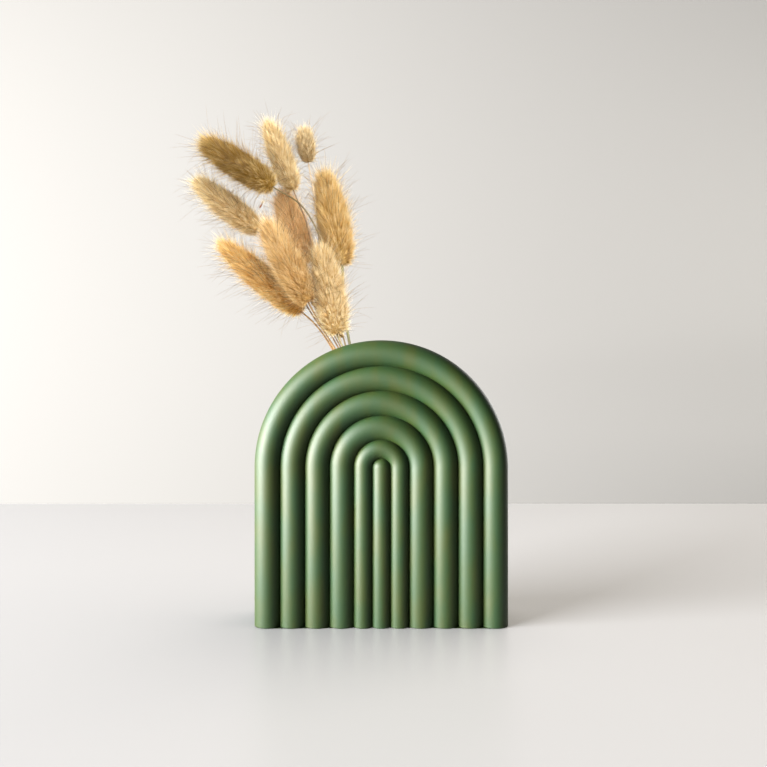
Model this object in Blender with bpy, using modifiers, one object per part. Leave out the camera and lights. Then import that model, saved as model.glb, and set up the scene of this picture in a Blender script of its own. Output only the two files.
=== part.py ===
"""Nine dried bunny-tail grass stems standing in a ribbed, arch-shaped table vase.

Run it with: blender --background --python part.py
Units are metres and +Z is up. The origin is the middle of the vase's flat base, the ribbed front
faces -Y, and the bouquet leans towards -X.
"""

import math

import bmesh
import bpy
from mathutils import Matrix, Vector

MM = 0.001

# The vase: concentric arches nested round a short rod, ribbed alike on front and back.
VASE_WIDTH = 140 * MM
VASE_HEIGHT = 157.5 * MM
VASE_DEPTH = 40 * MM
SPRING_HEIGHT = VASE_HEIGHT - VASE_WIDTH / 2
ARCH_COUNT = 4
ARCH_PITCH = 13.6 * MM
ARCH_RIB_RADIUS = 7.5 * MM
INNER_ARCH_OFFSET = 10 * MM
SMALL_RIB_RADIUS = 5.5 * MM
RIB_STEP = math.radians(22)
CROWN_STEPS = 36
VASE_GREEN = (0.13, 0.21, 0.09)
VASE_ROUGHNESS = 0.6

# The space inside the vase and the slot in its crown.
WALL = 8 * MM
FLOOR = 6 * MM
CAVITY_HALF_DEPTH = 11 * MM
SLOT_HALF_LENGTH = 30 * MM
SLOT_HALF_WIDTH = 8 * MM
SLOT_SIDES = 32

# How a stem sits in its seed head and on the vase's floor.
SOCKET_DEPTH = 6 * MM
STEM_IN_SOCKET = 5.7 * MM
GAP = 0.3 * MM
COLLAR_WALL = 0.7 * MM
STRAIGHT_NECK = 1.5 * MM
STEM_STEP = 5 * MM
LONGEST_BEND = 50 * MM
STEM_BEVEL_RESOLUTION = 2
STRAW_BROWN = (0.42, 0.28, 0.14)
STRAW_ROUGHNESS = 0.7
HEAD_SIDES = 20
HEAD_RINGS_PER_SIDE = 7
HEAD_ROUGHNESS = 0.9

# Points of a mesh nearer to each other than this are one point.
WELD = 0.01 * MM

# Each stem's foot inside the vase: X, Y. Its height follows from the floor.
# Then the points that it passes, the first of them in the slot, and its radius.
# Each head's base and tip, its widest radius, and how far up it the widest place is.
# Points and radii are in millimetres.
SPRIGS = (
    {
        "foot": (9, -4.4),
        "route": (
            (-20.5, -2.6, 156),
            (-25.5, -0.4, 175),
            (-33.2, 0.2, 211),
            (-38.5, -1.5, 224.5),
            (-46, -7, 234.5),
        ),
        "stem_radius": 0.42,
        "base": (-59.5, -16, 241.5),
        "tip": (-97, -20, 265),
        "head_radius": 7.6,
        "belly": 0.4,
    },
    {
        "foot": (13, -2.8),
        "route": ((-26, -1.5, 153.2), (-38.8, -1, 171.9), (-49.5, -0.6, 190), (-60.5, 0.4, 209)),
        "stem_radius": 0.4,
        "base": (-70.5, 2, 221),
        "tip": (-105, -2, 248),
        "head_radius": 7.4,
        "belly": 0.38,
    },
    {
        "foot": (2, 3.2),
        "route": ((-27.6, 2.8, 152.6), (-33.3, 2.9, 161.7), (-39.2, 2.9, 168.9)),
        "stem_radius": 0.45,
        "base": (-46, 3, 174.8),
        "tip": (-93.5, 8, 215),
        "head_radius": 7.5,
        "belly": 0.36,
    },
    {
        "foot": (11, -0.8),
        "route": (
            (-23.5, 0.2, 154.9),
            (-34.5, 2.4, 175.2),
            (-38.6, 2.6, 192),
            (-39.8, 1, 212),
            (-42.6, -0.6, 225),
        ),
        "stem_radius": 0.36,
        "base": (-49.8, -3, 243),
        "tip": (-64, -1, 280.5),
        "head_radius": 6.8,
        "belly": 0.42,
    },
    {
        "foot": (-8, 5.4),
        "route": ((-22.6, 4.6, 155), (-29.5, 5.8, 180), (-35.5, 7, 212), (-38, 4.5, 239)),
        "stem_radius": 0.32,
        "base": (-41.4, -1, 259.1),
        "tip": (-43.6, -4, 276),
        "head_radius": 4.8,
        "belly": 0.5,
    },
    {
        "foot": (-3, 1.2),
        "route": ((-18, 1.8, 155.8), (-20.2, 2.6, 168), (-22.2, 3.8, 188)),
        "stem_radius": 0.75,
        "base": (-22.6, 4, 201.5),
        "tip": (-33.2, 10, 255),
        "head_radius": 7.8,
        "belly": 0.36,
    },
    {
        "foot": (0, 7.6),
        "route": ((-24.8, 5.8, 154.3), (-32.5, 5.8, 167.5), (-39.4, 6.6, 180)),
        "stem_radius": 0.4,
        "base": (-43.6, 7, 203.5),
        "tip": (-57.5, 9, 243),
        "head_radius": 7.2,
        "belly": 0.42,
    },
    {
        "foot": (6, -7.6),
        "route": ((-26.8, -5.6, 153.4), (-32, -7, 162.8), (-36.8, -10, 171.4)),
        "stem_radius": 0.45,
        "base": (-40.4, -13.4, 178.5),
        "tip": (-63, -17, 221),
        "head_radius": 7.7,
        "belly": 0.4,
    },
    {
        "foot": (12, -9.4),
        "route": ((-21.8, -6, 154.6),),
        "stem_radius": 0.45,
        "base": (-24.8, -7.4, 161.5),
        "tip": (-33.5, -13, 207.5),
        "head_radius": 6.8,
        "belly": 0.34,
    },
)

# A seed that has dropped out of a head and hangs in the hairs between two others.
FLORET_AT = Vector((-67, -10, 232.5)) * MM
FLORET_RADIUS = 0.45 * MM
FLORET_LENGTH = 3.2 * MM
FLORET_LEAN = math.radians(28)
FLORET_RINGS = 6
FLORET_SIDES = 12
SEED_BROWN = (0.30, 0.14, 0.09)
SEED_ROUGHNESS = 0.7

HEAD_COLOURS = (
    (0.50, 0.37, 0.18),
    (0.66, 0.49, 0.27),
    (0.67, 0.43, 0.19),
    (0.74, 0.60, 0.36),
    (0.55, 0.45, 0.29),
    (0.66, 0.47, 0.22),
    (0.63, 0.41, 0.22),
    (0.64, 0.43, 0.21),
    (0.74, 0.57, 0.31),
)


def clear_scene():
    for obj in list(bpy.data.objects):
        bpy.data.objects.remove(obj, do_unlink=True)


def new_collection(name):
    collection = bpy.data.collections.new(name)
    bpy.context.scene.collection.children.link(collection)
    return collection


def material(name, colour, roughness):
    made = bpy.data.materials.new(name)
    made.use_nodes = True
    shader = made.node_tree.nodes["Principled BSDF"]
    shader.inputs["Base Color"].default_value = (*colour, 1)
    shader.inputs["Roughness"].default_value = roughness
    shader.inputs["Metallic"].default_value = 0
    return made


def add_object(name, data, collection, finish=None):
    obj = bpy.data.objects.new(name, data)
    collection.objects.link(obj)
    if finish:
        data.materials.append(finish)
    return obj


def mesh_from(bm, name):
    data = bpy.data.meshes.new(name)
    bm.to_mesh(data)
    bm.free()
    return data


# Vase


def meeting(first, second):
    """Where two ribs' circles cross on the front. Each rib is its distance out, its Y and its radius."""
    a = Vector(first[:2])
    b = Vector(second[:2])
    apart = (b - a).length
    along = (first[2] ** 2 - second[2] ** 2 + apart**2) / (2 * apart)
    across = math.sqrt(first[2] ** 2 - along**2)
    out = (b - a) / apart
    return a + out * along + Vector((out.y, -out.x)) * across


def arc(rib, start, end):
    """Points round a rib's front from start to end, without the end."""
    centre = Vector(rib[:2])
    begin = math.atan2(start.y - centre.y, start.x - centre.x)
    finish = math.atan2(end.y - centre.y, end.x - centre.x)
    steps = max(2, round(abs(finish - begin) / RIB_STEP))
    angles = [begin + (finish - begin) * i / steps for i in range(steps)]
    return [centre + rib[2] * Vector((math.cos(angle), math.sin(angle))) for angle in angles]


def ribbed_outline():
    """Half the vase's section, as (distance from the middle line, Y), from front to back."""
    front = -VASE_DEPTH / 2
    outermost = VASE_WIDTH / 2 - ARCH_RIB_RADIUS
    ribs = [(0, front + SMALL_RIB_RADIUS, SMALL_RIB_RADIUS)]
    ribs.append((INNER_ARCH_OFFSET, front + SMALL_RIB_RADIUS, SMALL_RIB_RADIUS))
    for i in reversed(range(ARCH_COUNT)):
        ribs.append((outermost - i * ARCH_PITCH, front + ARCH_RIB_RADIUS, ARCH_RIB_RADIUS))
    joints = [Vector((0, front))]
    joints += [meeting(inner, outer) for inner, outer in zip(ribs, ribs[1:])]
    joints.append(Vector((VASE_WIDTH / 2, front + ARCH_RIB_RADIUS)))
    half = []
    for rib, start, end in zip(ribs, joints, joints[1:]):
        half += arc(rib, start, end)
    half.append(joints[-1])
    return half + [Vector((point.x, -point.y)) for point in reversed(half)]


def arch_mesh(name, outline, bottom):
    """The outline swept over the crown, then down both legs to the bottom, and closed there."""
    bm = bmesh.new()
    start = [bm.verts.new((point.x, point.y, SPRING_HEIGHT)) for point in outline]
    near = [bm.edges.new(pair) for pair in zip(start, start[1:])]
    swept = bmesh.ops.spin(
        bm,
        geom=start + near,
        cent=(0, 0, SPRING_HEIGHT),
        axis=(0, 1, 0),
        angle=-math.pi,
        steps=CROWN_STEPS,
    )
    far = [item for item in swept["geom_last"] if isinstance(item, bmesh.types.BMEdge)]
    for side in (near, far):
        leg = bmesh.ops.extrude_edge_only(bm, edges=side)
        for item in leg["geom"]:
            if isinstance(item, bmesh.types.BMVert):
                item.co.z = bottom
    bmesh.ops.remove_doubles(bm, verts=bm.verts, dist=WELD)
    rim = [edge for edge in bm.edges if edge.is_boundary]
    bmesh.ops.contextual_create(bm, geom=rim)
    bmesh.ops.recalc_face_normals(bm, faces=bm.faces)
    return mesh_from(bm, name)


def cavity_cutter(collection):
    reach = VASE_WIDTH / 2 - WALL
    outline = [
        Vector((0, -CAVITY_HALF_DEPTH)),
        Vector((reach, -CAVITY_HALF_DEPTH)),
        Vector((reach, CAVITY_HALF_DEPTH)),
        Vector((0, CAVITY_HALF_DEPTH)),
    ]
    return add_object("cavity_cutter", arch_mesh("cavity_cutter", outline, FLOOR), collection)


def slot_cutter(collection):
    """A round-ended bar, upright through the crown."""
    bm = bmesh.new()
    bmesh.ops.create_cone(
        bm,
        cap_ends=True,
        segments=SLOT_SIDES,
        radius1=SLOT_HALF_WIDTH,
        radius2=SLOT_HALF_WIDTH,
        depth=2 * WALL + SLOT_HALF_LENGTH,
        matrix=Matrix.Rotation(math.pi / SLOT_SIDES, 4, "Z"),
    )
    for vert in bm.verts:
        vert.co.x += math.copysign(SLOT_HALF_LENGTH - SLOT_HALF_WIDTH, vert.co.x)
    obj = add_object("slot_cutter", mesh_from(bm, "slot_cutter"), collection)
    obj.location.z = VASE_HEIGHT - WALL
    return obj


def build_vase(collection, cutters):
    finish = material("green_matt_plastic", VASE_GREEN, VASE_ROUGHNESS)
    vase = add_object("vase_body", arch_mesh("vase_body", ribbed_outline(), 0), collection, finish)
    for cutter in (cavity_cutter(cutters), slot_cutter(cutters)):
        cutter.hide_render = True
        cutter.display_type = "WIRE"
        cut = vase.modifiers.new(cutter.name, "BOOLEAN")
        cut.operation = "DIFFERENCE"
        cut.solver = "EXACT"
        cut.object = cutter


# Stems


def smooth_route(points, end_direction):
    """Points on a smooth curve through the given ones, which arrives along end_direction."""
    spans = [after - before for before, after in zip(points, points[1:])]
    slopes = [span.normalized() for span in spans]
    headings = [slopes[0]]
    for i in range(1, len(spans)):
        before = spans[i - 1].length
        after = spans[i].length
        headings.append((slopes[i - 1] * after + slopes[i] * before) / (before + after))
    headings.append(end_direction)
    route = []
    for i, span in enumerate(spans):
        reach = min(span.length, LONGEST_BEND)
        leaving = headings[i] * reach
        arriving = headings[i + 1] * reach
        steps = max(2, round(span.length / STEM_STEP))
        for step in range(steps):
            t = step / steps
            route.append(
                points[i] * (2 * t**3 - 3 * t**2 + 1)
                + leaving * (t**3 - 2 * t**2 + t)
                + points[i + 1] * (3 * t**2 - 2 * t**3)
                + arriving * (t**3 - t**2)
            )
    route.append(points[-1])
    return route


def build_stem(number, sprig, collection, finish):
    radius = sprig["stem_radius"] * MM
    base = Vector(sprig["base"]) * MM
    direction = (Vector(sprig["tip"]) * MM - base).normalized()
    foot_x, foot_y = sprig["foot"]
    points = [Vector((foot_x * MM, foot_y * MM, FLOOR + GAP + radius))]
    points += [Vector(point) * MM for point in sprig["route"]]
    points.append(base - direction * STRAIGHT_NECK)
    route = smooth_route(points, direction)
    route.append(base + direction * STEM_IN_SOCKET)
    curve = bpy.data.curves.new(f"stem_{number}", "CURVE")
    curve.dimensions = "3D"
    curve.bevel_depth = radius
    curve.bevel_resolution = STEM_BEVEL_RESOLUTION
    curve.use_fill_caps = True
    spline = curve.splines.new("POLY")
    spline.points.add(len(route) - 1)
    for target, point in zip(spline.points, route):
        target.co = (*point, 1)
    add_object(f"stem_{number}", curve, collection, finish)


# Seed heads


def head_outline(length, widest, belly, socket):
    """A head's half section, from its tip down the outside to its base and up into its socket."""
    collar = socket + COLLAR_WALL
    outline = []
    for i in range(HEAD_RINGS_PER_SIDE):
        angle = math.pi / 2 * i / HEAD_RINGS_PER_SIDE
        height = length * (belly + (1 - belly) * math.cos(angle))
        outline.append((widest * math.sin(angle), height))
    for i in range(HEAD_RINGS_PER_SIDE + 1):
        angle = math.pi / 2 * i / HEAD_RINGS_PER_SIDE
        height = length * belly * (1 - math.sin(angle))
        outline.append((collar + (widest - collar) * math.cos(angle), height))
    outline += [(socket, 0), (socket, SOCKET_DEPTH), (0, SOCKET_DEPTH)]
    return outline


def turned(name, outline, sides, collection, finish):
    """A solid turned round its own Z axis from a half section that starts at its top."""
    data = bpy.data.meshes.new(name)
    points = [(radius, 0, height) for radius, height in outline]
    data.from_pydata(points, [(i, i + 1) for i in range(len(points) - 1)], [])
    obj = add_object(name, data, collection, finish)
    turn = obj.modifiers.new("turn", "SCREW")
    turn.steps = sides
    turn.render_steps = sides
    turn.use_merge_vertices = True
    turn.merge_threshold = WELD
    return obj


def build_head(number, sprig, collection):
    base = Vector(sprig["base"]) * MM
    along = Vector(sprig["tip"]) * MM - base
    socket = sprig["stem_radius"] * MM + GAP
    outline = head_outline(along.length, sprig["head_radius"] * MM, sprig["belly"], socket)
    finish = material(f"seed_head_{number}_fluff", HEAD_COLOURS[number - 1], HEAD_ROUGHNESS)
    head = turned(f"seed_head_{number}", outline, HEAD_SIDES, collection, finish)
    head.location = base
    head.rotation_euler = along.to_track_quat("Z", "Y").to_euler()


# Loose floret


def build_floret(collection):
    outline = []
    for i in range(FLORET_RINGS + 1):
        angle = math.pi * i / FLORET_RINGS
        outline.append((FLORET_RADIUS * math.sin(angle), FLORET_LENGTH / 2 * math.cos(angle)))
    outline[-1] = (0, -FLORET_LENGTH / 2)
    finish = material("red_brown_seed", SEED_BROWN, SEED_ROUGHNESS)
    floret = turned("loose_floret", outline, FLORET_SIDES, collection, finish)
    floret.location = FLORET_AT
    floret.rotation_euler = (0, FLORET_LEAN, 0)


clear_scene()
parts = new_collection("bunny_tail_bouquet_in_arch_vase")
cutting_tools = new_collection("cutters")
build_vase(parts, cutting_tools)
straw = material("dry_straw", STRAW_BROWN, STRAW_ROUGHNESS)
for index, grass in enumerate(SPRIGS, start=1):
    build_stem(index, grass, parts, straw)
    build_head(index, grass, parts)
build_floret(parts)
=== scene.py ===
import math

import bmesh
import bpy
import numpy as np
from mathutils import Matrix, Vector


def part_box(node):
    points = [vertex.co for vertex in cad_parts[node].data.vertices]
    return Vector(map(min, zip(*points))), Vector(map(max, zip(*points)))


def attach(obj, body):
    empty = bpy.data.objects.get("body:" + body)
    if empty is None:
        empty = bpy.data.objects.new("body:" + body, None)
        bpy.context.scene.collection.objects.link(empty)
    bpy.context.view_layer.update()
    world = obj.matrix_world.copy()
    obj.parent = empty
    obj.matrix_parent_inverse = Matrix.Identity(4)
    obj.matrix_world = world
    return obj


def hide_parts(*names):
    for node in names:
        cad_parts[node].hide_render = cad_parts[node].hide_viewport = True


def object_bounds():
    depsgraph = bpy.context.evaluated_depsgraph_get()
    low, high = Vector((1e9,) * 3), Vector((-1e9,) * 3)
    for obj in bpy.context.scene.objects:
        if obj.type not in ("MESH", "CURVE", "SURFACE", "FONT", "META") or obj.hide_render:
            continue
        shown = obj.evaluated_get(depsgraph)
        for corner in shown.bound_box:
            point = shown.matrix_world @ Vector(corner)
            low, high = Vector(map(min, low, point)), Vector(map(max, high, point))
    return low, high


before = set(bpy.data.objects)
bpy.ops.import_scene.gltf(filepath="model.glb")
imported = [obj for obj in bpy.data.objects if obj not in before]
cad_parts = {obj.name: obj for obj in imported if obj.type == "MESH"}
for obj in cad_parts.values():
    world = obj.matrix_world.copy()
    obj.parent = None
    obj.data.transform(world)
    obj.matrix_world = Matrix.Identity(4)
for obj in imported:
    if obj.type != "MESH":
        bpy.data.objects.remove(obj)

cad_box = [list(corner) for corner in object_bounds()]


# The vase. One printed piece of matt green plastic: four round-ribbed arches and a narrow one, nested round
# a short rod, the same on both faces. It is hollow, stands on a flat foot, and takes its stems through a
# round-ended slot in the crown. The printer left fine level layer lines and a faint cloudy mottle.

MM = 0.001
low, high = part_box("vase_body")
VASE_WIDTH = high.x - low.x
VASE_HEIGHT = high.z - low.z
VASE_DEPTH = high.y - low.y
SPRING_HEIGHT = VASE_HEIGHT - VASE_WIDTH / 2
ARCH_COUNT = 4
ARCH_PITCH = 13.6 * MM
ARCH_RIB_RADIUS = 7.5 * MM
INNER_ARCH_OFFSET = 10 * MM
SMALL_RIB_RADIUS = 5.5 * MM
RIB_STEP = math.radians(6)
CROWN_STEPS = 90
FOOT_ROUNDING = 0.5 * MM
WALL = 8 * MM
FLOOR = 6 * MM
CAVITY_HALF_DEPTH = 11 * MM
SLOT_HALF_LENGTH = 30 * MM
SLOT_HALF_WIDTH = 8 * MM
LIP_ROUNDING = 0.7 * MM
LAYER_HEIGHT = 0.2 * MM
WELD = 0.001 * MM
LIP_TOLERANCE = 0.06 * MM
SLOT_SIDES = 64
SHARP_FROM = math.radians(38)
# the plastic's colour where it clouds to blue-green, between, and where it clouds to olive
BLUE_GREEN = (0.0130, 0.0390, 0.0098, 1)
MID_GREEN = (0.0172, 0.0390, 0.0060, 1)
OLIVE = (0.0245, 0.0395, 0.0042, 1)


def meeting(first, second):
    """Where two neighbouring ribs cross on the front. A rib is its distance out, its depth and its radius."""
    a = Vector(first[:2])
    b = Vector(second[:2])
    apart = (b - a).length
    along = (first[2] ** 2 - second[2] ** 2 + apart**2) / (2 * apart)
    across = math.sqrt(first[2] ** 2 - along**2)
    out = (b - a) / apart
    return a + out * along + Vector((out.y, -out.x)) * across


def rib_arc(rib, start, end):
    """Points round one rib from start up to end, which belongs to the next rib."""
    centre = Vector(rib[:2])
    begin = math.atan2(start.y - centre.y, start.x - centre.x)
    finish = math.atan2(end.y - centre.y, end.x - centre.x)
    steps = max(2, round(abs(finish - begin) / RIB_STEP))
    angles = [begin + (finish - begin) * i / steps for i in range(steps)]
    return [centre + rib[2] * Vector((math.cos(angle), math.sin(angle))) for angle in angles]


def ribbed_outline(inset=0.0):
    """Half the vase's section from its front middle to its back middle, drawn in by inset."""
    front = -VASE_DEPTH / 2
    outermost = VASE_WIDTH / 2 - ARCH_RIB_RADIUS
    small = SMALL_RIB_RADIUS - inset
    large = ARCH_RIB_RADIUS - inset
    ribs = [(0, front + SMALL_RIB_RADIUS, small)]
    ribs.append((INNER_ARCH_OFFSET, front + SMALL_RIB_RADIUS, small))
    for i in reversed(range(ARCH_COUNT)):
        ribs.append((outermost - i * ARCH_PITCH, front + ARCH_RIB_RADIUS, large))
    corners = [Vector((0, front + inset))]
    corners += [meeting(inner, outer) for inner, outer in zip(ribs, ribs[1:])]
    corners.append(Vector((VASE_WIDTH / 2 - inset, front + ARCH_RIB_RADIUS)))
    half = []
    for rib, start, end in zip(ribs, corners, corners[1:]):
        half += rib_arc(rib, start, end)
    half.append(corners[-1])
    return half + [Vector((point.x, -point.y)) for point in reversed(half)]


def arch_solid(name, outlines):
    """The first outline swept over the crown; each leg then drops through (outline, height) pairs."""
    bm = bmesh.new()
    start = [bm.verts.new((point.x, point.y, SPRING_HEIGHT)) for point in outlines[0][0]]
    near = [bm.edges.new(pair) for pair in zip(start, start[1:])]
    swept = bmesh.ops.spin(
        bm,
        geom=start + near,
        cent=(0, 0, SPRING_HEIGHT),
        axis=(0, 1, 0),
        angle=-math.pi,
        steps=CROWN_STEPS,
    )
    far = [item for item in swept["geom_last"] if isinstance(item, bmesh.types.BMVert)]
    for row, side in ((start, 1), (far, -1)):
        for outline, height in outlines:
            lower = [bm.verts.new((side * point.x, point.y, height)) for point in outline]
            for pair in zip(zip(row, row[1:]), zip(lower, lower[1:])):
                (a, b), (c, d) = pair
                bm.faces.new((a, b, d, c))
            row = lower
    bmesh.ops.remove_doubles(bm, verts=bm.verts, dist=WELD)
    bmesh.ops.contextual_create(bm, geom=[edge for edge in bm.edges if edge.is_boundary])
    bmesh.ops.recalc_face_normals(bm, faces=bm.faces)
    data = bpy.data.meshes.new(name)
    bm.to_mesh(data)
    bm.free()
    obj = bpy.data.objects.new(name, data)
    bpy.context.scene.collection.objects.link(obj)
    return obj


def hollow_out(body):
    """The cavity and the slot cut from the body; the slot's lip is then rounded."""
    reach = VASE_WIDTH / 2 - WALL
    section = [Vector((x, y)) for x, y in ((0, -1), (1, -1), (1, 1), (0, 1))]
    section = [Vector((point.x * reach, point.y * CAVITY_HALF_DEPTH)) for point in section]
    cavity = arch_solid("cavity_cutter", [(section, FLOOR)])
    bm = bmesh.new()
    bmesh.ops.create_cone(
        bm,
        cap_ends=True,
        segments=SLOT_SIDES,
        radius1=SLOT_HALF_WIDTH,
        radius2=SLOT_HALF_WIDTH,
        depth=2 * WALL + SLOT_HALF_LENGTH,
        matrix=Matrix.Translation((0, 0, VASE_HEIGHT - WALL)) @ Matrix.Rotation(math.pi / SLOT_SIDES, 4, "Z"),
    )
    for vert in bm.verts:
        vert.co.x += math.copysign(SLOT_HALF_LENGTH - SLOT_HALF_WIDTH, vert.co.x)
    data = bpy.data.meshes.new("slot_cutter")
    bm.to_mesh(data)
    bm.free()
    slot = bpy.data.objects.new("slot_cutter", data)
    bpy.context.scene.collection.objects.link(slot)
    for cutter in (cavity, slot):
        cut = body.modifiers.new(cutter.name, "BOOLEAN")
        cut.operation = "DIFFERENCE"
        cut.solver = "EXACT"
        cut.object = cutter
    shape = body.evaluated_get(bpy.context.evaluated_depsgraph_get())
    cut_mesh = bpy.data.meshes.new_from_object(shape)
    body.modifiers.clear()
    body.data = cut_mesh
    for cutter in (cavity, slot):
        bpy.data.objects.remove(cutter, do_unlink=True)
    bm = bmesh.new()
    bm.from_mesh(cut_mesh)
    bm.edges.ensure_lookup_table()
    lip = [edge for edge in bm.edges if all(on_slot_lip(vert.co) for vert in edge.verts)]
    bmesh.ops.bevel(bm, geom=lip, offset=LIP_ROUNDING, segments=3, profile=0.5, affect="EDGES")
    bm.to_mesh(cut_mesh)
    bm.free()


def on_slot_lip(point):
    """Whether a point lies where the slot's wall meets the crown's outer face."""
    from_spring = math.hypot(point.x, point.z - SPRING_HEIGHT)
    past_end = max(abs(point.x) - (SLOT_HALF_LENGTH - SLOT_HALF_WIDTH), 0)
    from_slot_axis = math.hypot(past_end, point.y)
    on_crown = point.z > SPRING_HEIGHT and abs(from_spring - VASE_WIDTH / 2) < LIP_TOLERANCE
    return on_crown and abs(from_slot_axis - SLOT_HALF_WIDTH) < LIP_TOLERANCE


def add_node(tree, kind, **settings):
    """A new shader node with these settings, each one a socket's value or a property."""
    made = tree.nodes.new(kind)
    for name, value in settings.items():
        if name in made.inputs:
            made.inputs[name].default_value = value
        else:
            setattr(made, name, value)
    return made


def vase_finish():
    """Matt green plastic: level layer lines in the bump, blue-green and olive clouds in the colour."""
    made = bpy.data.materials.new("vase_green_plastic")
    made.use_nodes = True
    tree = made.node_tree
    shader = tree.nodes["Principled BSDF"]
    shader.inputs["Specular IOR Level"].default_value = 0.62
    place = add_node(tree, "ShaderNodeTexCoord")
    stretch = add_node(tree, "ShaderNodeMapping")
    stretch.inputs["Scale"].default_value = (120, 70, 42)
    tree.links.new(place.outputs["Object"], stretch.inputs["Vector"])
    clouds = add_node(tree, "ShaderNodeTexNoise", Scale=1.0, Detail=2.0, Roughness=0.45)
    tree.links.new(stretch.outputs["Vector"], clouds.inputs["Vector"])
    mottle = add_node(tree, "ShaderNodeValToRGB")
    mottle.color_ramp.elements[0].position = 0.34
    mottle.color_ramp.elements[0].color = BLUE_GREEN
    mottle.color_ramp.elements[1].position = 0.66
    mottle.color_ramp.elements[1].color = OLIVE
    middle = mottle.color_ramp.elements.new(0.5)
    middle.color = MID_GREEN
    tree.links.new(clouds.outputs["Fac"], mottle.inputs["Fac"])
    tree.links.new(mottle.outputs["Color"], shader.inputs["Base Color"])
    layers = add_node(tree, "ShaderNodeTexWave", wave_type="BANDS", bands_direction="Z")
    layers.inputs["Scale"].default_value = 2 * math.pi / 20 / LAYER_HEIGHT
    tree.links.new(place.outputs["Object"], layers.inputs["Vector"])
    grain = add_node(tree, "ShaderNodeTexNoise", Scale=900.0, Detail=3.0, Roughness=0.6)
    tree.links.new(place.outputs["Object"], grain.inputs["Vector"])
    rough = add_node(tree, "ShaderNodeMapRange")
    rough.inputs["To Min"].default_value = 0.53
    rough.inputs["To Max"].default_value = 0.63
    tree.links.new(grain.outputs["Fac"], rough.inputs["Value"])
    tree.links.new(rough.outputs["Result"], shader.inputs["Roughness"])
    lines = add_node(tree, "ShaderNodeBump", Strength=0.35, Distance=0.02 * MM)
    tree.links.new(layers.outputs["Fac"], lines.inputs["Height"])
    pores = add_node(tree, "ShaderNodeBump", Strength=0.3, Distance=0.03 * MM)
    tree.links.new(grain.outputs["Fac"], pores.inputs["Height"])
    tree.links.new(lines.outputs["Normal"], pores.inputs["Normal"])
    tree.links.new(pores.outputs["Normal"], shader.inputs["Normal"])
    return made


foot = [(ribbed_outline(), FOOT_ROUNDING)]
for turn in (30, 60, 90):
    drop = FOOT_ROUNDING * (1 - math.sin(math.radians(turn)))
    foot.append((ribbed_outline(FOOT_ROUNDING * (1 - math.cos(math.radians(turn)))), drop))
vase = arch_solid("arch_vase", foot)
hollow_out(vase)
vase.data.shade_smooth()
vase.data.set_sharp_from_angle(angle=SHARP_FROM)
vase.data.materials.clear()
vase.data.materials.append(vase_finish())
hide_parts("vase_body")
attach(vase, "root")


# The stems. Nine thin dry culms of straw, each grown as one piece with its head: some dried brown, some
# olive, one pale grey. They go down through the left half of the slot and stand on the floor inside.
# Their solids come with the frame, so this section only gives them their finish.

TINT_CHANGES_FROM = 165 * MM
TINT_CHANGES_TO = 225 * MM
STEM_TINTS = (
    # the colour at the vase and the colour under the head, stem by stem
    ((0.15, 0.105, 0.045), (0.13, 0.100, 0.045)),
    ((0.24, 0.150, 0.070), (0.18, 0.105, 0.050)),
    ((0.48, 0.290, 0.130), (0.19, 0.115, 0.055)),
    ((0.26, 0.170, 0.085), (0.15, 0.095, 0.048)),
    ((0.52, 0.430, 0.300), (0.50, 0.400, 0.280)),
    ((0.16, 0.155, 0.070), (0.14, 0.130, 0.060)),
    ((0.25, 0.155, 0.075), (0.15, 0.090, 0.045)),
    ((0.36, 0.230, 0.110), (0.18, 0.110, 0.050)),
    ((0.28, 0.240, 0.120), (0.18, 0.140, 0.065)),
)


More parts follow.
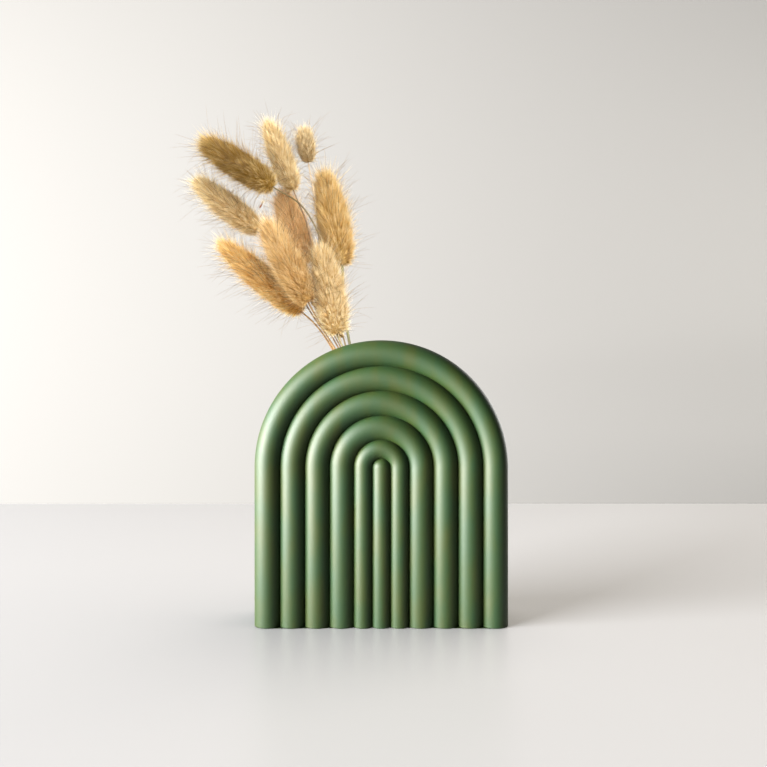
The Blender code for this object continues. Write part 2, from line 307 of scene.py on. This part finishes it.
def straw_finish(name, lower, upper):
    """Dry straw with fine streaks along it, lower at the vase and upper under the head."""
    made = bpy.data.materials.new(name)
    made.use_nodes = True
    tree = made.node_tree
    shader = tree.nodes["Principled BSDF"]
    shader.inputs["Specular IOR Level"].default_value = 0.35
    place = add_node(tree, "ShaderNodeTexCoord")
    level = add_node(tree, "ShaderNodeSeparateXYZ")
    tree.links.new(place.outputs["Object"], level.inputs["Vector"])
    rise = add_node(tree, "ShaderNodeMapRange")
    rise.inputs["From Min"].default_value = TINT_CHANGES_FROM
    rise.inputs["From Max"].default_value = TINT_CHANGES_TO
    tree.links.new(level.outputs["Z"], rise.inputs["Value"])
    tint = add_node(tree, "ShaderNodeMix", data_type="RGBA")
    tint.inputs["A"].default_value = (*lower, 1)
    tint.inputs["B"].default_value = (*upper, 1)
    tree.links.new(rise.outputs["Result"], tint.inputs["Factor"])
    stretch = add_node(tree, "ShaderNodeMapping")
    stretch.inputs["Scale"].default_value = (900, 900, 60)
    tree.links.new(place.outputs["Object"], stretch.inputs["Vector"])
    streaks = add_node(tree, "ShaderNodeTexNoise", Scale=1.0, Detail=3.0, Roughness=0.6)
    tree.links.new(stretch.outputs["Vector"], streaks.inputs["Vector"])
    depth = add_node(tree, "ShaderNodeValToRGB")
    depth.color_ramp.elements[0].position = 0.3
    depth.color_ramp.elements[0].color = (0.50, 0.46, 0.42, 1)
    depth.color_ramp.elements[1].position = 0.7
    depth.color_ramp.elements[1].color = (1, 1, 1, 1)
    tree.links.new(streaks.outputs["Fac"], depth.inputs["Fac"])
    streaked = add_node(tree, "ShaderNodeMix", data_type="RGBA", blend_type="MULTIPLY")
    streaked.inputs["Factor"].default_value = 1.0
    tree.links.new(tint.outputs["Result"], streaked.inputs["A"])
    tree.links.new(depth.outputs["Color"], streaked.inputs["B"])
    tree.links.new(streaked.outputs["Result"], shader.inputs["Base Color"])
    rough = add_node(tree, "ShaderNodeMapRange")
    rough.inputs["To Min"].default_value = 0.5
    rough.inputs["To Max"].default_value = 0.75
    tree.links.new(streaks.outputs["Fac"], rough.inputs["Value"])
    tree.links.new(rough.outputs["Result"], shader.inputs["Roughness"])
    ridges = add_node(tree, "ShaderNodeBump", Strength=0.4, Distance=0.05 * MM)
    tree.links.new(streaks.outputs["Fac"], ridges.inputs["Height"])
    tree.links.new(ridges.outputs["Normal"], shader.inputs["Normal"])
    return made


for number, (lower, upper) in enumerate(STEM_TINTS, start=1):
    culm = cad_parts[f"stem_{number}"]
    culm.data.materials.clear()
    culm.data.materials.append(straw_finish(f"straw_of_stem_{number}", lower, upper))


# The seed heads. Each is a soft, dense spike: a core set in a spiral with narrow husks, one to a tuft of fine
# hairs, and a long, bent bristle standing out of two tufts in three. The hairs are darker and warmer at the
# root and pale at the tip; the darker root is partly painted shade for the gaps between tufts. Every head
# dried to its own tint, which in places also carries painted light against other heads' shadows and the
# lamps.

GOLDEN_ANGLE = math.pi * (3 - math.sqrt(5))
HAIR_MAP = "OFBake"
CORE_SHARE = 0.72
CORE_RINGS = 34
CORE_SIDES = 30
HEAD_SEED = 4100
TUFTS_PER_METRE = 7500
BRISTLES_PER_METRE = 5000
FUR_RINGS = 4
HUSK_RINGS = 5
BRISTLE_RINGS = 8
CORE_LENGTH_SHARE = 0.93
HUSK_LENGTH_SHARE = 0.5
HUSK_SUNK = 0.4 * MM
INWARD = 0.4
# radii along one fibre from its root, and for hairs their shares of the hair's own radius
HUSK_RADII = np.array([0.10, 0.16, 0.12, 0.05]) * MM
HAIR_TAPER = np.array([1.0, 0.9, 0.6])
BRISTLE_RADII = np.linspace(0.08, 0.04, BRISTLE_RINGS - 1) * MM
# lengths as shares of the head's radius, at these places from its base to its tip
TUFT_PLACES = [0, 0.12, 0.4, 1]
TUFT_LENGTHS = [0.42, 0.56, 0.72, 0.66]
HAIR_PLACES = [0, 0.12, 0.4, 0.8, 1]
HAIR_LENGTHS = [0.42, 0.58, 0.74, 0.86, 1.10]
SHADE_PLACES = [0, 0.2, 0.55, 0.85, 1]
# how far fibres lean out from the head's axis, in degrees, at these places from its base to its tip
LEAN_PLACES = [0, 0.04, 0.12, 0.3, 0.6, 0.9, 1]
LEANS = [128, 92, 60, 38, 28, 20, 8]
FLYAWAY_SHARE = 0.18
DARK_STRAND_SHARE = 0.09
HUSK_GLOW = 0.55
HAIR_GLOW = 0.6
BRISTLE_GLOW = 0.2
BRISTLE_ROOT = (0.62, 0.42, 0.19)
BRISTLE_BODY = (0.23, 0.165, 0.10)
BRISTLE_DARK = (0.8, 0.7, 0.6)
# fibres stay this near the object's box, and one that leaves it is shortened, step by step
SHORTENINGS = 12
SHORTENING = 0.88
REACH_SHARE = 0.03
REACH_MORE = 9 * MM
allowed = [(cad_high - cad_low) * REACH_SHARE + REACH_MORE for cad_low, cad_high in zip(*cad_box)]
lowest_reach = np.array(cad_box[0]) - allowed
highest_reach = np.array(cad_box[1]) + allowed


def read_head(number):
    """A head's base point, its direction, its length and its solid's radius, taken from its CAD solid."""
    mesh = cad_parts[f"seed_head_{number}"].data
    points = np.array([vert.co for vert in mesh.vertices])
    centre = points.mean(axis=0)
    direction = np.linalg.svd(points - centre)[2][0]
    direction = direction * np.sign(direction[2])
    along = (points - centre) @ direction
    radius = np.linalg.norm(points - centre - np.outer(along, direction), axis=1).max()
    return centre + direction * along.min(), direction, np.ptp(along), radius


def unit(vectors):
    """The vectors, each made one long."""
    return vectors / np.linalg.norm(vectors, axis=-1, keepdims=True)


def curved(roots, headings, bends, lengths, rings):
    """Paths from the roots that start along the headings and turn towards the bends."""
    steps = np.linspace(0, 1, rings)[None, :, None]
    reach = lengths[:, None, None]
    return roots[:, None] + reach * (headings[:, None] * steps + bends[:, None] * steps**2)


def paths_inside(roots, headings, bends, lengths, rings):
    """Curved paths, each shortened step by step until it stays within reach of the object's box."""
    for _ in range(SHORTENINGS):
        paths = curved(roots, headings, bends, lengths, rings)
        outside = ((paths < lowest_reach) | (paths > highest_reach)).any(axis=(1, 2))
        lengths = np.where(outside, lengths * SHORTENING, lengths)
    return paths


def spikes(paths, radii, shades, draw):
    """Closed three-sided fibres: corners, loops, face sizes and UV. The last point of a path is its tip."""
    count, rings = paths.shape[:2]
    body = rings - 1
    heading = unit(np.gradient(paths, axis=1))[:, :body]
    side = unit(np.cross(heading, unit(draw.normal(size=(count, 1, 3)))))
    up = np.cross(heading, side)
    turns = np.arange(3) * 2 * math.pi / 3
    ring = side[:, :, None] * np.cos(turns)[:, None] + up[:, :, None] * np.sin(turns)[:, None]
    rings_at = paths[:, :body, None] + ring * radii[:, :, None, None]
    corners = np.concatenate([rings_at.reshape(count, body * 3, 3), paths[:, -1:]], axis=1)
    per_fibre = body * 3 + 1
    faces = [
        (k * 3 + j, k * 3 + (j + 1) % 3, (k + 1) * 3 + (j + 1) % 3, (k + 1) * 3 + j)
        for k in range(body - 1)
        for j in range(3)
    ]
    last = (body - 1) * 3
    faces += [(last + j, last + (j + 1) % 3, body * 3) for j in range(3)]
    faces.append((0, 2, 1))
    loops = np.array([corner for face in faces for corner in face])
    all_loops = (np.arange(count)[:, None] * per_fibre + loops).ravel()
    across = np.where(loops == body * 3, 0.0, (loops % 3 - 1) * 0.004)
    down = np.broadcast_to(np.minimum(loops // 3, body) / body, (count, len(loops)))
    uv = np.stack([shades[:, None] + across, down], axis=2).reshape(-1, 2)
    return corners.reshape(-1, 3), all_loops, np.tile([len(face) for face in faces], count), uv


def thickness(place, belly, blunt, taper):
    """How thick a head is along its length, 1 at its widest. blunt shapes its base and taper its tip."""
    from_widest = 2 * place**belly - 1
    power = np.where(from_widest < 0, blunt, taper)
    return np.sqrt(np.clip(1 - np.abs(from_widest) ** power, 0, 1))


def core_body(base, axis, across, other, length, width):
    """The head's closed inner body: corners, loops, face sizes and UV. width gives its radius along it."""
    place = (1 - np.cos(np.linspace(0, math.pi, CORE_RINGS))) / 2
    turn = np.arange(CORE_SIDES) * 2 * math.pi / CORE_SIDES
    around = np.cos(turn)[:, None] * across + np.sin(turn)[:, None] * other
    points = base + axis * (place * length)[:, None, None] + around * width(place)[:, None, None]
    rings = CORE_RINGS - 2
    corners = np.concatenate([points[1:-1].reshape(-1, 3), [base, base + axis * length]])
    foot = rings * CORE_SIDES
    faces = []
    for j in range(CORE_SIDES):
        k = (j + 1) % CORE_SIDES
        faces.append((foot, k, j))
        faces += [
            (r * CORE_SIDES + j, r * CORE_SIDES + k, (r + 1) * CORE_SIDES + k, (r + 1) * CORE_SIDES + j)
            for r in range(rings - 1)
        ]
        faces.append(((rings - 1) * CORE_SIDES + j, (rings - 1) * CORE_SIDES + k, foot + 1))
    loops = np.array([corner for face in faces for corner in face])
    uv = np.stack([(loops % CORE_SIDES) / CORE_SIDES, 0.5 + 0.3 * (loops % 7) / 7], axis=1)
    return corners, loops, np.array([len(face) for face in faces]), uv


def fibre_mesh(name, shapes):
    """One mesh from closed shapes, with the UV that runs each fibre's colour from its root to its tip."""
    offsets = np.cumsum([0] + [len(shape[0]) for shape in shapes[:-1]])
    corners = np.concatenate([shape[0] for shape in shapes])
    loops = np.concatenate([shape[1] + offset for shape, offset in zip(shapes, offsets)])
    sizes = np.concatenate([shape[2] for shape in shapes])
    starts = np.concatenate([[0], np.cumsum(sizes)[:-1]])
    uv = np.concatenate([shape[3] for shape in shapes])
    data = bpy.data.meshes.new(name)
    data.vertices.add(len(corners))
    data.vertices.foreach_set("co", corners.astype(np.float32).ravel())
    data.loops.add(len(loops))
    data.loops.foreach_set("vertex_index", loops.astype(np.int32))
    data.polygons.add(len(starts))
    data.polygons.foreach_set("loop_start", starts.astype(np.int32))
    data.polygons.foreach_set("use_smooth", np.ones(len(starts), dtype=bool))
    data.update(calc_edges=True)
    data.validate()
    layer = data.uv_layers.new(name=HAIR_MAP)
    layer.data.foreach_set("uv", np.clip(uv, 0.002, 0.998).astype(np.float32).ravel())
    return data


def hair_finish(name, root, body, tip, dark, through):
    """Dry plant fibre. Colour runs root, body, tip along it, and the darkest fibres are tinted by dark. On
    the plume hairs the darker root is partly painted shade for the gaps between tufts.
    """
    made = bpy.data.materials.new(name)
    made.use_nodes = True
    tree = made.node_tree
    shader = tree.nodes["Principled BSDF"]
    shader.inputs["Roughness"].default_value = 0.75
    shader.inputs["Specular IOR Level"].default_value = 0.2
    where = add_node(tree, "ShaderNodeUVMap", uv_map=HAIR_MAP)
    parts = add_node(tree, "ShaderNodeSeparateXYZ")
    tree.links.new(where.outputs["UV"], parts.inputs["Vector"])
    along = add_node(tree, "ShaderNodeValToRGB")
    along.color_ramp.elements[0].position = 0.0
    along.color_ramp.elements[0].color = (*root, 1)
    along.color_ramp.elements[1].position = 0.85
    along.color_ramp.elements[1].color = (*tip, 1)
    middle = along.color_ramp.elements.new(0.35)
    middle.color = (*body, 1)
    tree.links.new(parts.outputs["Y"], along.inputs["Fac"])
    shade = add_node(tree, "ShaderNodeValToRGB")
    shade.color_ramp.elements[0].color = (*dark, 1)
    shade.color_ramp.elements[1].color = (1, 1, 1, 1)
    tree.links.new(parts.outputs["X"], shade.inputs["Fac"])
    tint = add_node(tree, "ShaderNodeMix", data_type="RGBA", blend_type="MULTIPLY")
    tint.inputs["Factor"].default_value = 1.0
    tree.links.new(along.outputs["Color"], tint.inputs["A"])
    tree.links.new(shade.outputs["Color"], tint.inputs["B"])
    tree.links.new(tint.outputs["Result"], shader.inputs["Base Color"])
    glow = add_node(tree, "ShaderNodeBsdfTranslucent")
    tree.links.new(tint.outputs["Result"], glow.inputs["Color"])
    both = add_node(tree, "ShaderNodeMixShader", Fac=through)
    tree.links.new(shader.outputs["BSDF"], both.inputs[1])
    tree.links.new(glow.outputs["BSDF"], both.inputs[2])
    tree.links.new(both.outputs["Shader"], tree.nodes["Material Output"].inputs["Surface"])
    return made


def add_piece(name, data, finish, number):
    """One piece of a head, with its finish, standing for the head's solid."""
    data.materials.append(finish)
    obj = bpy.data.objects.new(name, data)
    bpy.context.scene.collection.objects.link(obj)
    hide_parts(f"seed_head_{number}")
    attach(obj, "root")
    return obj


def build_head(number, hairs, fullness, belly, blunt, taper, shading, root, body, tip, dark):
    """A head's core and husks, its plume hairs and its bristles, seeded by its number."""
    base, axis, length, solid_radius = read_head(number)
    draw = np.random.default_rng(HEAD_SEED + number)
    radius = solid_radius * fullness
    across = unit(np.cross(axis, [0.0, 1.0, 0.0]))
    other = np.cross(axis, across)
    core_length = length * CORE_LENGTH_SHARE

    def width(place):
        return CORE_SHARE * radius * thickness(place, belly, blunt, taper)

    def grow(place, turn, shy):
        """Where fibres at these places stand on the core, the way they head, and straight outward."""
        radial = np.cos(turn)[:, None] * across + np.sin(turn)[:, None] * other
        roots = base + axis * (place * core_length)[:, None] + radial * width(place)[:, None]
        lean = np.radians(np.interp(place, LEAN_PLACES, LEANS)) + shy
        return roots, np.cos(lean)[:, None] * axis + np.sin(lean)[:, None] * radial, radial

    tufts = int(TUFTS_PER_METRE * length)
    tuft_place = (np.arange(tufts) + 0.5) / tufts
    tuft_turn = np.arange(tufts) * GOLDEN_ANGLE + draw.normal(0, 0.2, tufts)
    tuft_roots, tuft_heading, tuft_radial = grow(tuft_place, tuft_turn, draw.normal(0, 0.10, tufts))
    tuft_length = radius * np.interp(tuft_place, TUFT_PLACES, TUFT_LENGTHS)
    tuft_length = tuft_length * draw.uniform(0.85, 1.15, tufts)
    tuft_bend = unit(axis - tuft_radial * INWARD) * draw.uniform(0.10, 0.24, tufts)[:, None]
    tuft_paths = curved(tuft_roots, tuft_heading, tuft_bend, tuft_length, FUR_RINGS)

    husk_roots = tuft_roots - tuft_heading * HUSK_SUNK
    husk_paths = curved(husk_roots, tuft_heading, tuft_bend, tuft_length * HUSK_LENGTH_SHARE, HUSK_RINGS)
    husks = spikes(husk_paths, np.tile(HUSK_RADII, (tufts, 1)), draw.uniform(0.3, 0.9, tufts), draw)
    core = core_body(base, axis, across, other, core_length, width)
    data = fibre_mesh(f"seed_head_{number}_husks", [core, husks])
    finish = hair_finish(f"head_{number}_husk", body, body, body, dark, HUSK_GLOW)
    add_piece(f"seed_head_{number}_husks", data, finish, number)

    spots = np.linspace(0, 1, 200)
    area = np.cumsum(0.35 + thickness(spots, belly, blunt, taper))
    place = np.interp(draw.uniform(area[0], area[-1], hairs), area, spots)
    flyaway = (draw.uniform(size=hairs) < FLYAWAY_SHARE) * draw.uniform(0.12, 0.65, hairs)
    turn = draw.uniform(0, 2 * math.pi, hairs)
    roots, heading, radial = grow(place, turn, draw.normal(0, 0.18, hairs) + flyaway)
    owner = ((roots[:, None] - tuft_roots[None]) ** 2).sum(axis=2).argmin(axis=1)
    span = radius * np.interp(place, HAIR_PLACES, HAIR_LENGTHS)
    span = span * draw.uniform(0.6, 1.2, hairs) * draw.uniform(0.8, 1.25, tufts)[owner] * (1 + 0.8 * flyaway)
    bend = (axis - radial * INWARD) * draw.uniform(0.05, 0.26, hairs)[:, None]
    bend = bend + draw.normal(0, 0.10, (hairs, 3))
    paths = paths_inside(roots, heading, bend, span, FUR_RINGS)
    pull = np.linspace(0, 1, FUR_RINGS)[None, :, None] ** 1.3 * draw.uniform(0.1, 0.65, hairs)[:, None, None]
    paths = paths + pull * (flyaway == 0)[:, None, None] * (tuft_paths[owner] - paths)
    # shade along the head: partly its own tint, partly painted light against other heads' shadows and the
    # lamps
    head_shade = np.interp(tuft_place, SHADE_PLACES, shading) + draw.normal(0, 0.14, tufts)
    shades = head_shade[owner] + draw.normal(0, 0.10, hairs)
    strand = draw.uniform(size=hairs) < DARK_STRAND_SHARE
    shades = np.where(strand, draw.uniform(0, 0.08, hairs), shades)
    thick = (draw.uniform(0.045, 0.07, hairs) + 0.03 * strand)[:, None] * HAIR_TAPER * MM
    data = fibre_mesh(f"seed_head_{number}_hairs", [spikes(paths, thick, shades, draw)])
    # the plume hairs' darker root colour is partly the hair's own and partly painted shade for the gaps
    # between tufts
    finish = hair_finish(f"head_{number}_hair", root, body, tip, dark, HAIR_GLOW)
    add_piece(f"seed_head_{number}_hairs", data, finish, number)

    bristles = int(BRISTLES_PER_METRE * length)
    chosen = draw.choice(tufts, bristles, replace=False)
    direction = tuft_heading[chosen] + tuft_radial[chosen] * 0.35
    direction = unit(direction + draw.normal(0, 0.22, (bristles, 3)))
    droop = tuft_radial[chosen] * draw.uniform(-0.1, 0.45, bristles)[:, None]
    droop = droop + draw.normal(0, 0.16, (bristles, 3))
    droop = droop - np.array([0, 0, 1]) * draw.uniform(0, 0.2, (bristles, 1))
    bristle_length = tuft_length[chosen] + draw.uniform(3.0, 13.0, bristles) * MM
    paths = paths_inside(tuft_roots[chosen], direction, droop, bristle_length, BRISTLE_RINGS)
    radii = np.tile(BRISTLE_RADII, (bristles, 1))
    bristle = spikes(paths, radii, draw.uniform(0, 1, bristles), draw)
    data = fibre_mesh(f"seed_head_{number}_bristles", [bristle])
    colours = (BRISTLE_ROOT, BRISTLE_BODY, BRISTLE_BODY, BRISTLE_DARK)
    finish = hair_finish(f"head_{number}_bristle", *colours, BRISTLE_GLOW)
    add_piece(f"seed_head_{number}_bristles", data, finish, number)


HEADS = (
    # hairs, fullness past the solid, belly, bluntness and taper, shade from base to tip,
    # then the root, body, tip and dark tints. Shade and tints are partly each head's own colour and partly
    # painted
    # light: lighter where another head's shadow falls, as at head 3's base, and darker on heads that face the
    # lamps.
    # The darker root is partly painted shade for the gaps between tufts.
    (10500, 0.98, 0.85, 3.2, 2.3, (1.0, 0.4, 0.25, 0.45, 0.8),
     (0.44, 0.29, 0.08), (0.74, 0.54, 0.19), (0.86, 0.74, 0.45), (0.42, 0.31, 0.13)),
    (10500, 0.94, 0.80, 2.6, 1.8, (0.7, 0.6, 0.65, 0.8, 0.9),
     (0.70, 0.51, 0.24), (0.94, 0.82, 0.52), (0.92, 0.85, 0.66), (0.64, 0.49, 0.30)),
    (12000, 1.02, 0.80, 2.4, 1.6, (1.1, 0.8, 0.7, 0.85, 1.1),
     (0.74, 0.47, 0.13), (0.96, 0.76, 0.34), (0.93, 0.83, 0.58), (0.68, 0.46, 0.19)),
    (10000, 0.90, 0.85, 3.0, 1.8, (0.6, 0.6, 0.6, 0.6, 0.75),
     (0.76, 0.58, 0.31), (0.94, 0.83, 0.56), (0.94, 0.89, 0.72), (0.68, 0.54, 0.32)),
    (4600, 0.98, 0.90, 2.4, 2.2, (0.8, 0.7, 0.7, 0.8, 0.9),
     (0.58, 0.44, 0.24), (0.82, 0.70, 0.46), (0.86, 0.77, 0.57), (0.62, 0.50, 0.33)),
    (12000, 1.14, 0.75, 2.8, 2.0, (0.8, 0.5, 0.5, 0.6, 0.7),
     (0.68, 0.48, 0.16), (0.90, 0.74, 0.38), (0.92, 0.83, 0.60), (0.66, 0.50, 0.25)),
    (10000, 1.10, 0.85, 2.6, 1.9, (0.6, 0.6, 0.6, 0.65, 0.75),
     (0.64, 0.42, 0.19), (0.90, 0.69, 0.38), (0.92, 0.80, 0.58), (0.60, 0.43, 0.24)),
    (11500, 1.05, 0.75, 2.5, 1.9, (0.65, 0.55, 0.6, 0.7, 0.8),
     (0.66, 0.44, 0.18), (0.92, 0.75, 0.41), (0.92, 0.81, 0.58), (0.62, 0.45, 0.23)),
    (11500, 1.22, 0.75, 2.7, 2.1, (1.1, 0.7, 0.6, 0.65, 0.75),
     (0.74, 0.55, 0.27), (0.94, 0.82, 0.52), (0.94, 0.88, 0.70), (0.66, 0.50, 0.28)),
)
for number, head in enumerate(HEADS, start=1):
    build_head(number, *head)


# The lowest husks. Two heads keep a little bunch of bare olive-brown husks at the foot, on their right, where
# the first spikelets have lost their hairs. They grow from the head and lie close to its stem.

BARE_HUSKS = 14
BARE_HUSK_SEED = 4120
BARE_HUSK_RADII = np.array([0.14, 0.28, 0.36, 0.32, 0.20, 0.08]) * MM
BARE_HUSK_COLOURS = ((0.16, 0.11, 0.045), (0.30, 0.21, 0.095), (0.44, 0.33, 0.17), (0.6, 0.5, 0.4))
for number in (8, 9):
    base, axis, length, solid_radius = read_head(number)
    draw = np.random.default_rng(BARE_HUSK_SEED + number)
    to_right = unit(np.array([0.9, -0.5, 0.0]))
    starts = base - axis * draw.uniform(-0.3, 1.4, (BARE_HUSKS, 1)) * MM + to_right * 0.25 * solid_radius
    heading = unit(to_right * 0.65 - axis * 0.6 + draw.normal(0, 0.4, (BARE_HUSKS, 3)))
    husk_paths = curved(starts, heading, axis[None] * 0.25, draw.uniform(2.6, 4.4, BARE_HUSKS) * MM, 7)
    husk_radii = np.tile(BARE_HUSK_RADII, (BARE_HUSKS, 1))
    bare_husks = spikes(husk_paths, husk_radii, draw.uniform(0, 1, BARE_HUSKS), draw)
    data = fibre_mesh(f"seed_head_{number}_lowest_husks", [bare_husks])
    finish = hair_finish(f"head_{number}_bare_husk", *BARE_HUSK_COLOURS, 0.2)
    add_piece(f"seed_head_{number}_lowest_husks", data, finish, number)


# The loose floret. A single red-brown seed in its husk, grown in a head and fallen out of it. Nothing is
# fastened: its own fine hairs reach to the edge of the fluff of the first head.

FLORET_HAIRS = 34
FLORET_HAIR_LENGTH = 4.5 * MM
FLORET_SEED = 4110
FLORET_RADII = np.array([[0.12, 0.34, 0.46, 0.50, 0.46, 0.36, 0.24, 0.12]]) * MM
FLORET_DARK = (0.6, 0.5, 0.4)
draw = np.random.default_rng(FLORET_SEED)
points = np.array([vert.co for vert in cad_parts["loose_floret"].data.vertices])
centre = points.mean(axis=0)
along = np.linalg.svd(points - centre)[2][0]
along = along * np.sign(along[2])
half_length = np.abs((points - centre) @ along).max()
seed_foot = (centre - along * half_length)[None]
husk_path = curved(seed_foot, along[None], np.array([[0.06, 0, 0.02]]), np.array([2 * half_length]), 9)
seed = spikes(husk_path, FLORET_RADII, np.array([0.4]), draw)
spread = unit(along + draw.normal(0, 0.55, (FLORET_HAIRS, 3)))
starts = np.repeat((centre + along * half_length * 0.7)[None], FLORET_HAIRS, axis=0)
sway = draw.normal(0, 0.25, (FLORET_HAIRS, 3))
floret_paths = curved(starts, spread, sway, FLORET_HAIR_LENGTH * draw.uniform(0.5, 1.2, FLORET_HAIRS), 6)
floret_radii = np.tile(np.linspace(0.05, 0.025, 5) * MM, (FLORET_HAIRS, 1))
floret_hairs = spikes(floret_paths, floret_radii, draw.uniform(0.5, 1, FLORET_HAIRS), draw)
for name, shape, colours in (
    ("loose_floret_husk", seed, ((0.22, 0.07, 0.03), (0.30, 0.11, 0.05), (0.36, 0.17, 0.08))),
    ("loose_floret_hairs", floret_hairs, ((0.60, 0.45, 0.28), (0.85, 0.74, 0.55), (0.92, 0.86, 0.70))),
):
    data = fibre_mesh(name, [shape])
    data.materials.append(hair_finish(name, *colours, FLORET_DARK, 0.3))
    piece = bpy.data.objects.new(name, data)
    bpy.context.scene.collection.objects.link(piece)
    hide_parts("loose_floret")
    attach(piece, "root")


# The stage. A pale table top and wall. A wide window at the left front lights them and the vase. The grass
# has softer lights of its own: a scrim, a reflector and one from behind. Weak ones fill the wall, the table
# and the vase's far sides. The camera stands level, a little below the vase's crown.

TABLE_LEFT = -0.8
TABLE_RIGHT = 1.2
TABLE_FRONT = -0.8
TABLE_BACK = 0.46
WALL_AT = 1.9
WALL_HALF_WIDTH = 2.2
WALL_FOOT = -1
WALL_TOP = 3
CAMERA_HEIGHT = 0.1336
CAMERA_DISTANCE = 0.461
CAMERA_SIDE = 0.0012
FIELD_LENS = 39.77
SENSOR_WIDTH = 36


def stage_plane(name, corners, finish):
    """A flat surface of the stage, which is no part of the object."""
    data = bpy.data.meshes.new(name)
    data.from_pydata(corners, [], [tuple(range(len(corners)))])
    data.materials.append(finish)
    obj = bpy.data.objects.new(name, data)
    bpy.context.scene.collection.objects.link(obj)
    return obj


def stage_finish(name, colour, roughness):
    """Plain paint with a weak shine."""
    made = bpy.data.materials.new(name)
    made.use_nodes = True
    shader = made.node_tree.nodes["Principled BSDF"]
    shader.inputs["Base Color"].default_value = (*colour, 1)
    shader.inputs["Roughness"].default_value = roughness
    shader.inputs["Specular IOR Level"].default_value = 0.28
    return made


table_finish = stage_finish("pale_table", (0.312, 0.316, 0.332), 0.36)
wall_finish = stage_finish("pale_wall", (0.245, 0.240, 0.232), 0.9)
table = stage_plane(
    "table",
    [
        (TABLE_LEFT, TABLE_FRONT, 0),
        (TABLE_RIGHT, TABLE_FRONT, 0),
        (TABLE_RIGHT, TABLE_BACK, 0),
        (TABLE_LEFT, TABLE_BACK, 0),
    ],
    table_finish,
)
wall = stage_plane(
    "wall",
    [
        (-WALL_HALF_WIDTH, WALL_AT, WALL_FOOT),
        (WALL_HALF_WIDTH, WALL_AT, WALL_FOOT),
        (WALL_HALF_WIDTH, WALL_AT, WALL_TOP),
        (-WALL_HALF_WIDTH, WALL_AT, WALL_TOP),
    ],
    wall_finish,
)


def soft_light(name, at, towards, width, height, power, colour):
    """A rectangular lamp, with its sides in metres and its power in watts."""
    data = bpy.data.lights.new(name, "AREA")
    data.shape = "RECTANGLE"
    data.size = width
    data.size_y = height
    data.energy = power
    data.color = colour
    obj = bpy.data.objects.new(name, data)
    obj.location = at
    obj.rotation_euler = (Vector(towards) - Vector(at)).to_track_quat("-Z", "Y").to_euler()
    bpy.context.scene.collection.objects.link(obj)
    return obj


def light_only(lamp, things, state="INCLUDE"):
    """Screens a light so that it falls only on these things, or, with EXCLUDE, on everything but them."""
    lit = bpy.data.collections.new(f"{lamp.name}_falls_on")
    for obj in things:
        lit.objects.link(obj)
    for member in lit.collection_objects:
        member.light_linking.link_state = state
    lamp.light_linking.receiver_collection = lit


WINDOW_BEARING = math.radians(61)
WINDOW_RISE = math.radians(7)
WINDOW_DISTANCE = 3.0
NEUTRAL = (1.0, 0.99, 0.97)
AMBIENT = 0.055
SEEN_BY_CAMERA = 0.70
middle = Vector((0, 0, VASE_HEIGHT * 0.75))
beam = Vector((-math.sin(WINDOW_BEARING), -math.cos(WINDOW_BEARING), math.tan(WINDOW_RISE)))
hard_things = (vase, table, wall)
window_at = middle + WINDOW_DISTANCE * beam
window = soft_light("window", window_at, middle, 2.2, 1.6, 635, (1.0, 0.99, 0.975))
light_only(window, hard_things)
heads_middle = Vector((-0.05, 0, 0.22))
scrim = soft_light("window_through_scrim", window_at, heads_middle, 2.2, 1.6, 148, (1.0, 0.985, 0.96))
light_only(scrim, hard_things, "EXCLUDE")
reflector = soft_light("heads_reflector", (0.8, -1.4, 0.8), heads_middle, 1.6, 1.6, 116, NEUTRAL)
light_only(reflector, hard_things, "EXCLUDE")
wall_wash = soft_light("wall_wash", (1.6, 0.9, 0.5), (0.8, WALL_AT, 0.45), 0.8, 0.8, 10, (1.0, 0.97, 0.91))
light_only(wall_wash, (wall,))
table_fill = soft_light("table_fill", (0.5, 0.2, 1.3), (0.3, 0.1, 0), 1.4, 1.4, 27, (1.0, 0.91, 0.77))
light_only(table_fill, (table,))
back_reflector = soft_light("back_reflector", (1.1, 1.2, 0.45), middle, 0.9, 0.9, 18, NEUTRAL)
light_only(back_reflector, (vase,))
heads_back = soft_light("heads_from_behind", (0.3, 1.4, 1.4), heads_middle, 1.2, 1.2, 34, NEUTRAL)
light_only(heads_back, hard_things, "EXCLUDE")
soft_light("side_reflector", (-1.2, 0.25, 0.25), middle, 0.7, 0.6, 6, (1.0, 1.0, 1.0))
soft_light("ceiling", (0.1, 0.3, 1.2), (0.1, 0.3, 0), 1.2, 1.2, 1.5, (1.0, 1.0, 1.0))
world = bpy.data.worlds.new("room_light")
world.use_nodes = True
surroundings = world.node_tree.nodes["Background"]
surroundings.inputs["Color"].default_value = (1.0, 0.98, 0.95, 1)
seen = add_node(world.node_tree, "ShaderNodeLightPath")
level = add_node(world.node_tree, "ShaderNodeMapRange")
level.inputs["To Min"].default_value = AMBIENT
level.inputs["To Max"].default_value = SEEN_BY_CAMERA
world.node_tree.links.new(seen.outputs["Is Camera Ray"], level.inputs["Value"])
world.node_tree.links.new(level.outputs["Result"], surroundings.inputs["Strength"])
bpy.context.scene.world = world

camera = bpy.data.objects.new("camera", bpy.data.cameras.new("camera"))
camera.data.lens = FIELD_LENS
camera.data.sensor_width = SENSOR_WIDTH
camera.location = (CAMERA_SIDE, -VASE_DEPTH / 2 - CAMERA_DISTANCE, CAMERA_HEIGHT)
camera.rotation_euler = (math.pi / 2, 0, 0)
bpy.context.scene.collection.objects.link(camera)
bpy.context.scene.camera = camera
bpy.context.scene.view_settings.view_transform = "Standard"
bpy.context.scene.view_settings.look = "Medium High Contrast"
